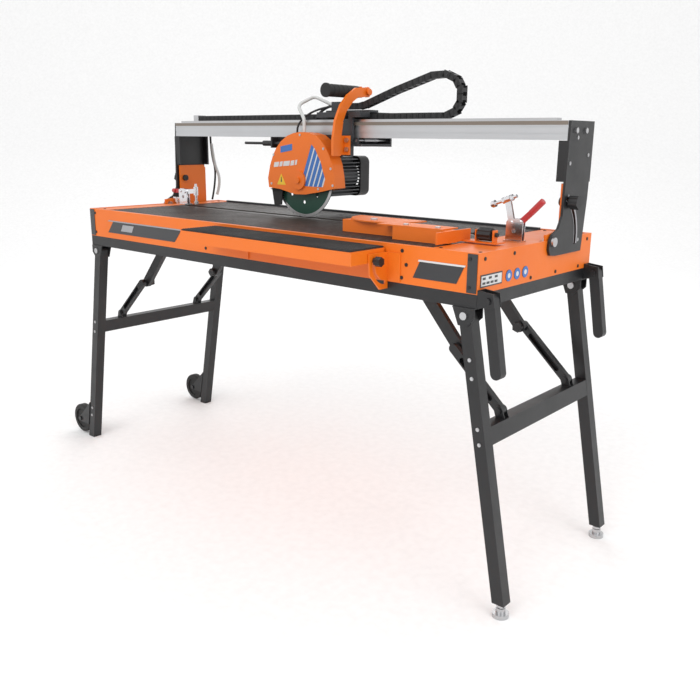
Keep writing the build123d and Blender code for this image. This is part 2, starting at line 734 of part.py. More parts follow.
def leg_frame(foot_gap):
    # Two splayed tubes and a crossbar; drawn for the right-hand end.
    y_leg = half_d - leg / 2
    body = None
    for s in (-1, 1):
        tube = leg_tube(s * y_leg, foot_gap)
        tube -= rod("y", leg_pivot_x, s * y_leg, leg_pivot_z, 5.0 + fit, leg + 2)
        body = tube if body is None else body + tube
    low, high = crossbar_z - crossbar_height / 2, crossbar_z + crossbar_height / 2
    wall = leg_wall
    inner = half_d - leg + 0.5
    x_low, x_high = leg_centre(low), leg_centre(high)
    outline = [(x_low - 15.0, low), (x_low + 15.0, low), (x_high + 15.0, high), (x_high - 15.0, high)]
    hollow = [(x_low - 15.0 + wall, low + wall), (x_low + 15.0 - wall, low + wall)]
    hollow += [(x_high + 15.0 - wall, high - wall), (x_high - 15.0 + wall, high - wall)]
    body += plate_xz(outline, -inner, inner) - plate_xz(hollow, -inner - 1, inner + 1)
    # clevis ears for the lower brace links
    for s in (-1, 1):
        for dy in (-brace_thick / 2 - 3.2, brace_thick / 2 + 0.2):
            y0 = s * lane_low + dy
            ear = link((brace_low[0], brace_low[1]), (leg_centre(high), high), 22.0, y0, y0 + 3.0)
            body += ear - rod("y", brace_low[0], y0, brace_low[1], pin_radius + fit, 20.0)
    body -= clear_inside_crossbar(low, high)
    return body


def clear_inside_crossbar(low, high):
    x = leg_centre(crossbar_z)
    return block(x - 11.0, x + 11.0, -200.0, 200.0, low + 4.0, high - 6.0)


lane_high = brace_y - brace_thick / 2 - 0.5
lane_low = brace_y + brace_thick / 2 + 4.2


def upper_link(s):
    y = s * lane_high
    body = link(brace_top, brace_mid, brace_width, y - brace_thick / 2, y + brace_thick / 2)
    body -= rod("y", brace_top[0], y, brace_top[1], pin_radius + fit, 40.0)
    # channel section: the underside is open
    p, q = along(brace_top, brace_mid, 0.18), along(brace_top, brace_mid, 0.82)
    body -= link(p, q, brace_width - 10.0, y - brace_thick / 2 + 3.0, y + brace_thick / 2 + 1.0)
    return body


def lower_link(s):
    y = s * lane_low
    body = link(brace_mid, brace_low, brace_width * 0.72, y - brace_thick / 2, y + brace_thick / 2)
    body -= rod("y", brace_low[0], y, brace_low[1], pin_radius + fit, 40.0)
    p, q = along(brace_mid, brace_low, 0.2), along(brace_mid, brace_low, 0.8)
    body -= link(p, q, brace_width * 0.72 - 8.0, y - brace_thick / 2 - 1.0, y + brace_thick / 2 - 3.0)
    return body


def brace_pins(at, lane, outer):
    found = []
    for s in (-1, 1):
        pin = rod("y", at[0], s * lane, at[1], pin_radius, 2 * outer)
        for e in (-1, 1):
            pin += rod("y", at[0], s * lane + e * (outer + 1.6), at[1], pin_radius + 3.0, 3.0)
        found.append(pin)
    return found


def brace_brackets():
    # Pairs of lugs hanging from a plate under the tray; drawn for the right-hand end.
    found = []
    x, z = brace_top
    top = tray_floor - 0.2
    for s in (-1, 1):
        y = s * lane_high
        body = block(x - 22.0, x + 22.0, y - 26.0, y + 26.0, top - 2.5, top)
        for dy in (-brace_thick / 2 - 3.4, brace_thick / 2 + 0.4):
            body += block(x - 12.0, x + 12.0, y + dy, y + dy + 3.0, z, top)
            body += rod("y", x, y + dy + 1.5, z, 12.0, 3.0)
            body -= rod("y", x, y + dy + 1.5, z, pin_radius + fit, 5.0)
        # the link's rounded end turns clear of the plate
        body -= rod("y", x, y, z, brace_width / 2 + 0.5, brace_thick + 0.6)
        found.append(body)
    return found


def hinge_brackets():
    # U-shaped sockets under the rails, one cheek each side of the leg; right-hand end.
    found = []
    top = tray_floor - rail - 0.1
    x, z = leg_pivot_x, leg_pivot_z
    for s in (-1, 1):
        y_leg = s * (half_d - leg / 2)
        body = block(x - 30.0, x + 25.0, y_leg - leg / 2 - 3.2, y_leg + leg / 2 + 3.2, top - 2.0, top)
        for e in (-1, 1):
            y0, y1 = sorted((y_leg + e * (leg / 2 + 0.2), y_leg + e * (leg / 2 + 3.2)))
            cheek = [(x - 30.0, top), (x + 25.0, top), (x + 25.0, z - 6.0), (x + 8.0, z - 22.0), (x - 14.0, z - 22.0)]
            body += plate_xz(cheek, y0, y1)
        body -= rod("y", x, y_leg, z, 5.0 + fit, leg + 12.0)
        body -= rod("y", x, y_leg, z, leg / 2 + 0.6, leg + 0.3)
        found.append(body)
    return found


def leg_pins():
    found = []
    for s in (-1, 1):
        y_leg = s * (half_d - leg / 2)
        pin = rod("y", leg_pivot_x, y_leg, leg_pivot_z, 5.0, leg + 7.0)
        for e in (-1, 1):
            pin += rod("y", leg_pivot_x, y_leg + e * (leg / 2 + 5.2), leg_pivot_z, 8.5, 3.6)
        found.append(pin)
    return found


def mirrored(found):
    return [mirror_x(shape) for shape in found]


def foot_sleeves():
    # Threaded plugs closing the right legs' lower ends.
    found = []
    for s in (-1, 1):
        y = s * (half_d - leg / 2)
        x = leg_centre(foot_height)
        plug = block(x - 10.0, x + 10.0, y - 12.9, y + 12.9, foot_height + 0.2, foot_height + 14.0)
        found.append(plug - rod("z", x, y, foot_height, 6.0 + fit, 60.0))
    return found


foot_height = 34.0
foot_stem = 26.0


def levelling_foot(s):
    y = s * (half_d - leg / 2)
    x = leg_centre(foot_height)
    body = rod("z", x, y, 5.0, 19.0, 10.0) + rod("z", x, y, 16.0, 11.0, 14.0)
    body += extrude(Pos(x, y, 24.0) * RegularPolygon(10.5, 6), amount=6.0)
    return body + rod("z", x, y, 20.0 + foot_stem / 2 + 2.0, 6.0, foot_stem)


# ---- wheels and carrying handles -----------------------------------------------------------------
wheel_x = -(leg_pivot_x + leg / 2 + 173.0)
wheel_y = half_d - leg / 2 + 0.5
axle_radius = 5.0


def wheel(s):
    y = s * wheel_y
    tyre = rod("y", wheel_x, y, wheel_z, wheel_radius, wheel_width)
    tyre = fillet(tyre.edges().filter_by(GeomType.CIRCLE), 5.0)
    tyre -= ring("y", wheel_x, y + s * 12.0, wheel_z, 34.0, 14.0, 8.0)
    tyre -= ring("y", wheel_x, y - s * 12.0, wheel_z, 34.0, 14.0, 8.0)
    return tyre - rod("y", wheel_x, y, wheel_z, axle_radius + fit, 60.0)


def wheel_bracket(s):
    # Fork bolted on the outer face of the leg, arms either side of the wheel.
    y = s * wheel_y
    body = None
    for e in (-1, 1):
        mid = y + e * (wheel_width / 2 + 3.0)
        slope = [(-leg_centre(128.0) - leg / 2 - 1.2, 128.0), (-leg_centre(44.0) - leg / 2 - 1.2, 44.0), (wheel_x, 44.0)]
        slope += [(wheel_x - 9.0, wheel_z), (wheel_x, wheel_z + 10.0)]
        arm = plate_xz(slope, mid - 1.5, mid + 1.5)
        body = arm if body is None else body + arm
    web = [(-leg_centre(128.0) - leg / 2 - 0.7, 128.0), (-leg_centre(44.0) - leg / 2 - 0.7, 44.0)]
    web += [(-leg_centre(44.0) - leg / 2 - 3.7, 44.0), (-leg_centre(128.0) - leg / 2 - 3.7, 128.0)]
    body += plate_xz(web, y - wheel_width / 2 - 4.5, y + wheel_width / 2 + 4.5)
    body -= rod("y", wheel_x, y, wheel_z, wheel_radius + 1.0, wheel_width + 2.0)
    return body - rod("y", wheel_x, y, wheel_z, axle_radius + fit, 60.0)


def wheel_axle(s):
    y = s * wheel_y
    body = rod("y", wheel_x, y, wheel_z, axle_radius, wheel_width + 12.0)
    for e in (-1, 1):
        body += rod("y", wheel_x, y + e * (wheel_width / 2 + 6.6), wheel_z, 8.0, 4.0)
    return body


def wheel_bolts():
    found = []
    for s in (-1, 1):
        for z in (84.0, 112.0):
            x = -leg_centre(z) - leg / 2 - 7.0
            found.append(Pos(x, s * wheel_y, z) * Rot(0, 90 + 10.8, 0) * Cylinder(6.0, 5.0))
    return found


def carry_handle(s):
    # Carrying bar hanging beside the right legs; it swings up about its socket.
    y = s * (half_d - leg / 2)
    x = carry_x
    body = link((x, carry_z), (x + 26.0, 560.0), 26.0, y - 11.0, y + 11.0)
    inner = link(along((x, carry_z), (x + 26.0, 560.0), 0.2), (x + 26.0, 566.0), 18.0, y - 8.0, y + 8.0)
    body -= inner
    return body - rod("y", x, y, carry_z, 4.0 + fit, 60.0)


carry_x, carry_z = half_l + 26.0, 712.0


def carry_socket(s):
    y = s * (half_d - leg / 2)
    body = block(half_l + 0.2, half_l + 3.4, y - 14.5, y + 14.5, 694.0, 732.0)
    for e in (-1, 1):
        y0, y1 = sorted((y + e * 11.4, y + e * 14.5))
        body += plate_xz([(half_l + 0.2, 694.0), (half_l + 0.2, 732.0), (half_l + 38.0, 728.0), (half_l + 42.0, 700.0)], y0, y1)
    return body - rod("y", carry_x, y, carry_z, 4.0 + fit, 60.0)


def carry_pins():
    found = []
    for s in (-1, 1):
        y = s * (half_d - leg / 2)
        pin = rod("y", carry_x, y, carry_z, 4.0, 31.0)
        for e in (-1, 1):
            pin += rod("y", carry_x, y + e * 17.0, carry_z, 7.0, 3.6)
        found.append(pin)
    return found


# ---- fold-out side table -------------------------------------------------------------------------
flap_back = -half_d - 1.5
flap_front = flap_back - flap_depth
flap_right = flap_left + flap_length
flap_low = flap_top - flap_height
flap_hinge_y, flap_hinge_z = -half_d - 7.0, flap_low - 3.0


def side_table():
    y1 = flap_back - 0.5
    body = block(flap_left, flap_right, flap_front, y1, flap_low, flap_top - 4.2)
    body -= block(flap_left + 3.0, flap_right - 3.0, flap_front + 3.0, y1 - 3.0, flap_low - 1.0, flap_top - 7.0)
    # clearance round the fixed knuckles, then the moving knuckles on their leaves
    body -= rod("x", 0.0, flap_hinge_y, flap_hinge_z, 6.2, 2000.0)
    for x in hinge_places:
        body += ring("x", x, flap_hinge_y, flap_hinge_z, 5.5, 3.0 + fit, 28.0)
        body += block(x - 14.0, x + 14.0, flap_hinge_y - 40.0, flap_hinge_y - 4.0, flap_low - 2.0, flap_low + 1.0)
    return body


hinge_places = (-60.0, 200.0, 440.0)


def side_table_mat():
    y0, y1 = flap_front + 2.0, flap_back - 2.5
    z0 = flap_top - 4.0
    body = block(flap_left + 2.0, flap_right - 2.0, y0, y1, z0, flap_top - 1.2)
    y = y0 + 6.0
    while y < y1 - 4.0:
        body += block(flap_left + 2.0, flap_right - 2.0, y - 2.0, y + 2.0, flap_top - 1.5, flap_top)
        y += 8.0
    return body


def hinge_pins():
    found = []
    for x in hinge_places:
        found.append(rod("x", x + 8.0, flap_hinge_y, flap_hinge_z, 3.0, 50.0))
    return found


def flap_hinges():
    # Fixed knuckles on leaves screwed to the tray's front.
    found = []
    for x in hinge_places:
        body = ring("x", x + 23.2, flap_hinge_y, flap_hinge_z, 5.5, 3.0 + fit, 18.0)
        body += block(x + 14.4, x + 32.2, -half_d - 2.0, -half_d - 0.1, flap_hinge_z - 22.0, flap_hinge_z + 10.0)
        body += block(x + 14.4, x + 32.2, -half_d - 3.5, -half_d - 0.1, flap_hinge_z - 3.0, flap_hinge_z + 3.0)
        found.append(body - rod("x", x, flap_hinge_y, flap_hinge_z, 3.0 + fit, 200.0))
    return found


def flap_bracket():
    # Support arm at the right-hand end with the curved slot; fixed to the tray front.
    x0 = flap_right + 4.6
    front = -half_d - 0.1
    body = plate_yz([(front, 789.0), (front, 706.0), (-292.0, 706.0), (-328.0, 742.0), (-332.0, 789.0)], x0, x0 + 4.0)
    body += block(x0, x0 + 40.0, front - 3.0, front, 724.0, 789.0)
    return body - knob_slot(x0 - 1.0, x0 + 5.0)


def knob_slot(x0, x1):
    # A quarter circle about the hinge, a little longer than the knob's travel.
    mid = (x0 + x1) / 2
    arc = ring("x", mid, flap_hinge_y, flap_hinge_z, knob_arc + 4.6, knob_arc - 4.6, x1 - x0)
    corners = [(flap_hinge_y, flap_hinge_z)]
    for angle in (knob_angle - 8.0, knob_angle + 28.0, knob_angle + 62.0, knob_angle + 98.0):
        a = math.radians(angle)
        corners.append((flap_hinge_y + 90.0 * math.cos(a), flap_hinge_z + 90.0 * math.sin(a)))
    return arc & plate_yz(corners, x0 - 3.0, x1 + 3.0)


def flap_prop():
    # Middle bracket under the table front.
    body = block(-27.0, 28.0, -half_d - 3.1, -half_d - 0.1, 724.0, 747.0)
    return body


def flap_end_plate():
    x0 = flap_right + 0.2
    body = plate_yz([(flap_front, flap_low), (flap_front, flap_top - 5.0), (-275.0, flap_top - 5.0), (-275.0, flap_low + 1.0)], x0, x0 + 3.0)
    return body - rod("x", x0, knob_y, knob_z, 4.0 + fit, 10.0)


knob_arc, knob_angle = 44.0, 169.5
knob_y = flap_hinge_y + knob_arc * math.cos(math.radians(knob_angle))
knob_z = flap_hinge_z + knob_arc * math.sin(math.radians(knob_angle))


def flap_knob():
    x0 = flap_right + 0.2
    body = star_knob("x", x0 + 22.0, knob_y, knob_z, 11.0, 16.0, 6)
    return body + rod("x", x0 + 6.0, knob_y, knob_z, 4.0, 18.0) & block(x0 + 0.05, 900.0, -400.0, -200.0, 700.0, 900.0)


# ---- toggle clamps -------------------------------------------------------------------------------
clamp_open, handle_open = 70.0, -45.0
arm_end = (-54.0, 5.0)
handle_pivot = (23.0, 2.0)
clamp_right = (half_l - 62.0, -30.0, 850.0)
clamp_left = (78.0 - half_l, 60.0, 850.0)


def clamp_base(height):
    # Foot plate and two cheeks; pivots at the origin, foot "height" below it.
    body = block(-12.0, 30.0, -16.0, 16.0, -height, -height + 4.0)
    cheek = [(-12.0, -height), (30.0, -height), (32.0, 6.0), (20.0, 11.0), (-6.0, 9.0), (-11.0, 2.0)]
    for s in (-1, 1):
        y0, y1 = sorted((s * 3.6, s * 6.6))
        side = plate_xz(cheek, y0, y1)
        side -= rod("y", 9.0, s * 5.0, -17.0, 5.5, 10.0)
        body += side
    for x, z in ((0.0, 0.0), handle_pivot):
        body -= rod("y", x, 0.0, z, 3.0 + fit, 40.0)
    return body


def clamp_arm():
    body = link((0.0, 0.0), arm_end, 15.0, -3.0, 3.0)
    body += rod("z", arm_end[0], 0.0, arm_end[1], 7.5, 15.0)
    body -= rod("z", arm_end[0], 0.0, arm_end[1], 4.0 + fit, 40.0)
    return body - rod("y", 0.0, 0.0, 0.0, 3.0 + fit, 40.0)


def clamp_spindle():
    x, z = arm_end
    low = -36.0
    body = rod("z", x, 0.0, (low + 7.0 + z + 24.0) / 2, 4.0, z + 24.0 - low - 7.0)
    for side in (-1, 1):
        body += extrude(Pos(x, 0.0, z + side * 11.0) * RegularPolygon(7.5, 6), amount=3.0, both=True)
    return body


def clamp_tip():
    x = arm_end[0]
    return rod("z", x, 0.0, -33.0, 8.0, 8.0) + rod("z", x, 0.0, -38.0, 6.0, 4.0) - rod("z", x, 0.0, -24.0, 4.0 + fit, 10.1)


def clamp_lever():
    x, z = handle_pivot
    return link(handle_pivot, (x + 30.0, z - 1.0), 13.0, -3.0, 3.0) - rod("y", x, 0.0, z, 3.0 + fit, 40.0)


def clamp_grip(reach):
    x, z = handle_pivot
    sleeve = rod("x", x + 32.0 + reach / 2, 0.0, z - 1.0, 7.5, reach)
    sleeve = fillet(sleeve.edges().filter_by(GeomType.CIRCLE), 2.5)
    return sleeve - link(handle_pivot, (x + 30.0, z - 1.0), 13.4, -3.2, 3.2)


def clamp_pins():
    found = []
    for x, z in ((0.0, 0.0), handle_pivot):
        pin = rod("y", x, 0.0, z, 3.0, 15.0)
        for s in (-1, 1):
            pin += rod("y", x, s * 8.0, z, 5.0, 2.4)
        found.append(pin)
    return found


def turn_about(shape, at, angle):
    return Pos(at[0], 0, at[1]) * Rot(0, angle, 0) * Pos(-at[0], 0, -at[1]) * shape


def place_clamp(shape, right, moving, opened):
    # moving: None, "arm" or "handle"; the clamp is drawn closed and turned open where asked.
    if opened and moving == "arm":
        shape = turn_about(shape, (0.0, 0.0), clamp_open)
    if opened and moving == "handle":
        shape = turn_about(shape, handle_pivot, handle_open)
    if right:
        return Pos(*clamp_right) * shape
    return Pos(*clamp_left) * mirror_x(shape)


def wing_knob():
    # Wing screw holding the left clamp's rail.
    body = rod("z", -703.0, 0.0, 822.0, 8.0, 16.0) + rod("z", -703.0, 0.0, 810.4, 4.0, 7.4)
    return body + block(-720.0, -686.0, -4.0, 4.0, 818.0, 830.0)


# ---- angle guide ---------------------------------------------------------------------------------
guide_pivot = (345.0, -135.0)
guide_low = table_top_z + 0.4
guide_top = 836.6
knob_centre = (652.0, -113.0, 829.0)


def guide_bar():
    body = block(255.0, 435.0, -150.0, -120.0, guide_low, guide_top)
    body -= block(252.0, 438.0, -147.0, -117.0, guide_low - 1.0, guide_top - 3.0)
    body += rod("z", guide_pivot[0], guide_pivot[1], (guide_low + guide_top) / 2, 13.0, guide_top - guide_low)
    return body - rod("z", *guide_pivot, guide_top, 4.0 + fit, 100.0)


def scale_plate():
    z0, z1 = guide_top + 0.3, guide_top + 3.3
    disc = rod("z", guide_pivot[0], -60.0, (z0 + z1) / 2, 105.0, z1 - z0)
    body = disc & block(200.0, 500.0, -200.0, -60.0, z0 - 1, z1 + 1)
    body += block(400.0, 585.0, -190.0, -126.0, z0, z1)
    body -= rod("z", *guide_pivot, z0, 4.0 + fit, 20.0)
    for x in (470.0, 560.0):
        body -= rod("z", x, -170.0, z0, 3.0 + fit, 20.0)
    return body


def guide_carrier():
    body = block(446.0, 586.0, -190.0, -152.0, guide_low, guide_top)
    body -= block(449.0, 583.0, -187.0, -151.0, guide_low - 1.0, guide_top - 3.0)
    body += block(585.0, 600.0, -190.0, -150.0, guide_low + 3.0, guide_top)
    body += block(596.0, 600.0, -230.0, -96.0, guide_low + 4.0, guide_top)
    body += block(596.0, 690.0, -132.0, -96.0, 810.0, 813.0)
    for x in (470.0, 560.0):
        body -= rod("z", x, -170.0, guide_top, 3.0 + fit, 20.0)
    x, y, z = knob_centre
    for x0 in (x - 24.0, x + 21.0):
        body += block(x0, x0 + 3.0, y - 9.0, y + 9.0, 812.0, z + 10.0)
    return body - rod("x", x, y, z, 5.0 + fit, 70.0)


def guide_screws():
    found = [rod("z", *guide_pivot, guide_top - 8.0, 4.0, 30.0) + rod("z", *guide_pivot, guide_top + 5.4, 9.0, 4.0)]
    for x in (470.0, 560.0):
        found.append(rod("z", x, -170.0, guide_top - 4.0, 3.0, 16.0) + rod("z", x, -170.0, guide_top + 4.9, 6.5, 3.0))
    return found


def guide_knob():
    x, y, z = knob_centre
    body = star_knob("x", x, y, z, 15.0, 33.0, 8)
    return body + rod("x", x, y, z, 5.0, 60.0)


def brace_star(at, y):
    # Knob clamping a brace at its middle hinge.
    return star_knob("y", at[0], y, at[1], 14.0, 12.0, 5)


# ---- every node ----------------------------------------------------------------------------------
def both_ends(found):
    return [*found, *mirrored(found)]


def clamp_nodes(name, right, opened, grip_reach):
    arm = [clamp_arm(), clamp_spindle(), clamp_tip()]
    lever = [clamp_lever(), clamp_grip(grip_reach)]
    keep("clamp_arm_" + name, *[place_clamp(shape, right, "arm", opened) for shape in arm])
    keep("clamp_handle_" + name, *[place_clamp(shape, right, "handle", opened) for shape in lever])


def build():
    keep("tray_basin", tray_basin())
    keep("tray_trim", *corner_strips(), *front_plates())
    keep("frame_rails", frame_rails())
    keep("table_top", table_top())
    keep("table_supports", *table_supports(), rear_splash_bar())
    keep("end_platforms", *end_platforms())
    keep("drain_plug", drain_plug())
    keep("water_pump", water_pump())
    keep("bevel_supports", support(1), support(-1), *pivot_bolts())
    keep("bevel_lock_right", bevel_lock(1))
    keep("bevel_lock_left", bevel_lock(-1))
    keep("bridge_post_right", post(1))
    keep("bridge_post_left", post(-1))
    keep("bridge_beam", bridge_beam())
    keep("beam_fittings", beam_strip(), *beam_bolts(), chain_ends())
    keep("cable_chain", cable_chain())
    keep("carriage_frame", carriage_frame(), chain_anchor())
    keep("carriage_rollers", *rollers())
    keep("blade_guard", blade_guard(), guard_boss())
    keep("splash_flap", splash_flap())
    keep("head_bracket", motor_bracket(), rod_bracket())
    keep("head_screws", *slide_screws(), *guard_fixings(), *handle_bolts())
    keep("motor_body", motor_body(), stator())
    keep("fan_cover", fan_cover())
    keep("handle_arm", handle_arm(), handle_clevis(), clevis_pin())
    keep("handle_grip", handle_grip())
    keep("lock_rod", side_rod())
    keep("water_hose", water_hose())
    keep("arbor_shaft", arbor_shaft())
    keep("saw_blade", saw_blade())
    keep("blade_flanges", *blade_flanges(), blade_nut())
    low_pins = brace_pins(brace_low, lane_low, brace_thick / 2 + 3.6)
    keep("leg_frame_right", leg_frame(foot_height), *foot_sleeves(), *low_pins)
    keep("leg_frame_left", mirror_x(leg_frame(0.0)), *mirrored(low_pins))
    keep("leg_brackets", *both_ends(hinge_brackets() + brace_brackets()))
    keep("hinge_pins", *both_ends(leg_pins() + brace_pins(brace_top, lane_high, brace_thick / 2 + 3.8)))
    for name, turn in (("right", list), ("left", mirrored)):
        knobs = [brace_star(brace_mid, -lane_high + brace_thick / 2 + 6.2)]
        knobs.append(brace_star(brace_mid, lane_high - brace_thick / 2 - 6.2))
        keep("brace_upper_" + name, *turn([upper_link(1), upper_link(-1)] + knobs))
        keep("brace_lower_" + name, *turn([lower_link(1), lower_link(-1)]))
    keep("foot_front", levelling_foot(-1))
    keep("foot_rear", levelling_foot(1))
    keep("wheel_front", wheel(-1))
    keep("wheel_rear", wheel(1))
    keep("wheel_brackets", wheel_bracket(-1), wheel_bracket(1), wheel_axle(-1), wheel_axle(1), *wheel_bolts())
    keep("carry_handle_front", carry_handle(-1))
    keep("carry_handle_rear", carry_handle(1))
    keep("carry_sockets", carry_socket(-1), carry_socket(1), *carry_pins())
    keep("side_table", side_table(), flap_end_plate())
    keep("side_table_mat", side_table_mat())
    keep("side_table_knob", flap_knob())
    keep("side_table_hinges", *flap_hinges(), *hinge_pins(), flap_bracket(), flap_prop())
    bases = []
    for right, at in ((True, clamp_right), (False, clamp_left)):
        base = clamp_base(at[2] - 806.6)
        bases.append(place_clamp(base, right, None, False))
        bases += [place_clamp(pin, right, None, False) for pin in clamp_pins()]
    keep("clamp_bases", *bases, Pos(0, 60, 0) * wing_knob())
    clamp_nodes("right", True, True, 42.0)
    clamp_nodes("left", False, False, 16.0)
    keep("guide_bar", guide_bar())
    keep("guide_carrier", guide_carrier())
    keep("guide_scale", scale_plate(), *guide_screws())
    keep("guide_knob", guide_knob())


build()

boxes = [shape.bounding_box() for shape in nodes.values()]
low = [min(tuple(box.min)[i] for box in boxes) for i in range(3)]
high = [max(tuple(box.max)[i] for box in boxes) for i in range(3)]
shift = (-(low[0] + high[0]) / 2, -(low[1] + high[1]) / 2, -low[2])
print("nodes", len(nodes), "shift", [round(v, 4) for v in shift])
print("size", [round(high[i] - low[i], 2) for i in range(3)])
for name, shape in nodes.items():
    export_step(Pos(*shift) * shape, "parts/" + name + ".step")
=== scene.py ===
import bmesh
import bpy
import json
import math
from mathutils import Matrix, Vector


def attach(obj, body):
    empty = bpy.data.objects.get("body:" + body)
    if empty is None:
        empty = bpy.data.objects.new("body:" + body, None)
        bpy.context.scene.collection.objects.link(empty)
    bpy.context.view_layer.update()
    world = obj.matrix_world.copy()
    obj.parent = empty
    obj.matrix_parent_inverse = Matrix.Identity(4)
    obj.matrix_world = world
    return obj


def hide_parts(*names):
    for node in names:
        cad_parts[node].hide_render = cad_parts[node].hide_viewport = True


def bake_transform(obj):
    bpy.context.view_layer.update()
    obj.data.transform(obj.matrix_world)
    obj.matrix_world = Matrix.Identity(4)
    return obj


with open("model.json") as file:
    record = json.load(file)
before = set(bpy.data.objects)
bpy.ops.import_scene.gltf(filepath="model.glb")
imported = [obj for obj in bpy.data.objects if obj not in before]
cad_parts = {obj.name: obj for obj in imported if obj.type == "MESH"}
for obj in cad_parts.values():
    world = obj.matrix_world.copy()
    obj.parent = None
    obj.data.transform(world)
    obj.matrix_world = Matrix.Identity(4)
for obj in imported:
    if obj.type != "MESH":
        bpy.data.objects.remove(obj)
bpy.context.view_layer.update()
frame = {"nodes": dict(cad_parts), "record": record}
nodes = frame["nodes"]

# The model is drawn about the tray's middle; the row frame's origin is the bounding box's bottom centre.
SHIFT = Vector((0.0482429, 0.05725, 0.0))

# Places and faces of the CAD model, in millimetres about the tray's middle at floor level.
TRAY_FRONT = -264.5
TRAY_END = 730.0
TABLE_PLATFORM = 806.5
POST_FACE = 737.0
SUPPORT_SKIN = (722.2, 727.6)
BEAM_FRONT = 88.0
BEAM_LENGTH = 1460.0
GUARD_FACE = 20.0
PIVOT = (42.0, 805.0)
ARBOR = (-66.0, 922.0)
BLADE_FACE = 40.5
WHEEL_AXLE = (-890.0, 54.0)
WHEEL_Y = 250.0
GUIDE_SCREWS = ((345, -135), (470, -170), (560, -170))
# Thicknesses of prints, and the radius over which edges are lightened, partly as paint wear and partly as
# painted highlight.
PRINT = 0.4
THIN_PRINT = 0.3
EDGE_RADIUS = 0.0012


def at(x, y, z):
    """A point given in millimetres about the tray's middle at floor level, in the row frame in metres."""
    return Vector((x / 1000, y / 1000, z / 1000)) + SHIFT


# ---- materials -----------------------------------------------------------------------------------
def new_material(name):
    mat = bpy.data.materials.new(name)
    mat.use_nodes = True
    tree = mat.node_tree
    tree.nodes.clear()
    out = tree.nodes.new("ShaderNodeOutputMaterial")
    shader = tree.nodes.new("ShaderNodeBsdfPrincipled")
    tree.links.new(shader.outputs["BSDF"], out.inputs["Surface"])
    coord = tree.nodes.new("ShaderNodeTexCoord")
    return mat, tree, shader, coord.outputs["Object"]


def noise(tree, vector, scale, detail=4.0, rough=0.55, stretch=None):
    if stretch:
        mapping = tree.nodes.new("ShaderNodeMapping")
        mapping.inputs["Scale"].default_value = stretch
        tree.links.new(vector, mapping.inputs["Vector"])
        vector = mapping.outputs["Vector"]
    node = tree.nodes.new("ShaderNodeTexNoise")
    node.inputs["Scale"].default_value = scale
    node.inputs["Detail"].default_value = detail
    node.inputs["Roughness"].default_value = rough
    tree.links.new(vector, node.inputs["Vector"])
    return node.outputs["Fac"]


def remap(tree, value, a, b, c, d):
    node = tree.nodes.new("ShaderNodeMapRange")
    for key, number in (("From Min", a), ("From Max", b), ("To Min", c), ("To Max", d)):
        node.inputs[key].default_value = number
    tree.links.new(value, node.inputs["Value"])
    return node.outputs["Result"]


def mix(tree, factor, first, second):
    node = tree.nodes.new("ShaderNodeMix")
    node.data_type = "RGBA"
    for socket, value in (("A", first), ("B", second)):
        target = [s for s in node.inputs if s.name == socket and s.type == "RGBA"][0]
        if isinstance(value, tuple):
            target.default_value = (*value, 1.0)
        else:
            tree.links.new(value, target)
    target = [s for s in node.inputs if s.name == "Factor" and s.type == "VALUE"][0]
    if isinstance(factor, float):
        target.default_value = factor
    else:
        tree.links.new(factor, target)
    return [s for s in node.outputs if s.type == "RGBA"][0]


def bump(tree, shader, height, strength, distance):
    node = tree.nodes.new("ShaderNodeBump")
    node.inputs["Strength"].default_value = strength
    node.inputs["Distance"].default_value = distance
    tree.links.new(height, node.inputs["Height"])
    tree.links.new(node.outputs["Normal"], shader.inputs["Normal"])


def surface(name, color, worn, rough, metallic=0.0, grain=220.0, depth=0.0002, edge=None, stretch=None,
            coat=0.0, grime=0.35, speckle=None):
    """Painted, metal or rubber surface: faint mottling, uneven gloss, fine grain, edges lightened partly by
    wear and partly as a painted highlight, and dust.
    """
    mat, tree, shader, vector = new_material(name)
    broad = noise(tree, vector, 3.5, 3.0, 0.5)
    fine = noise(tree, vector, grain, 3.0, 0.6, stretch)
    dark = tuple(c * 0.8 for c in color)
    tone = mix(tree, remap(tree, broad, 0.42, 0.75, 0.0, grime), color, worn)
    tone = mix(tree, remap(tree, fine, 0.35, 0.7, 0.0, 0.25), tone, dark)
    if speckle:
        spots = noise(tree, vector, grain * 0.8, 2.0, 0.5)
        tone = mix(tree, remap(tree, spots, 0.64, 0.70, 0.0, 0.7), tone, speckle)
    # Edges are lightened towards the edge colour in patches: partly paint wear, partly painted highlight
    # where light catches the edges.
    if edge:
        rounded = tree.nodes.new("ShaderNodeBevel")
        rounded.samples = 3
        rounded.inputs["Radius"].default_value = EDGE_RADIUS
        geometry = tree.nodes.new("ShaderNodeNewGeometry")
        dot = tree.nodes.new("ShaderNodeVectorMath")
        dot.operation = "DOT_PRODUCT"
        tree.links.new(rounded.outputs["Normal"], dot.inputs[0])
        tree.links.new(geometry.outputs["Normal"], dot.inputs[1])
        edge_patchiness = noise(tree, vector, 70.0, 4.0, 0.7)
        edge_wear_and_highlight_mask = tree.nodes.new("ShaderNodeMath")
        edge_wear_and_highlight_mask.operation = "MULTIPLY"
        tree.links.new(remap(tree, dot.outputs["Value"], 0.97, 0.86, 0.0, 1.0), edge_wear_and_highlight_mask.inputs[0])
        tree.links.new(remap(tree, edge_patchiness, 0.46, 0.66, 0.05, 0.8), edge_wear_and_highlight_mask.inputs[1])
        tone = mix(tree, edge_wear_and_highlight_mask.outputs[0], tone, edge)
    tree.links.new(tone, shader.inputs["Base Color"])
    shader.inputs["Metallic"].default_value = metallic
    shader.inputs["Coat Weight"].default_value = coat
    shader.inputs["Coat Roughness"].default_value = 0.25
    smear = noise(tree, vector, 9.0, 4.0, 0.6, stretch)
    gloss = remap(tree, smear, 0.3, 0.7, rough * 0.85, min(1.0, rough * 1.2))
    tree.links.new(gloss, shader.inputs["Roughness"])
    bump(tree, shader, fine, 0.3, depth)
    return mat
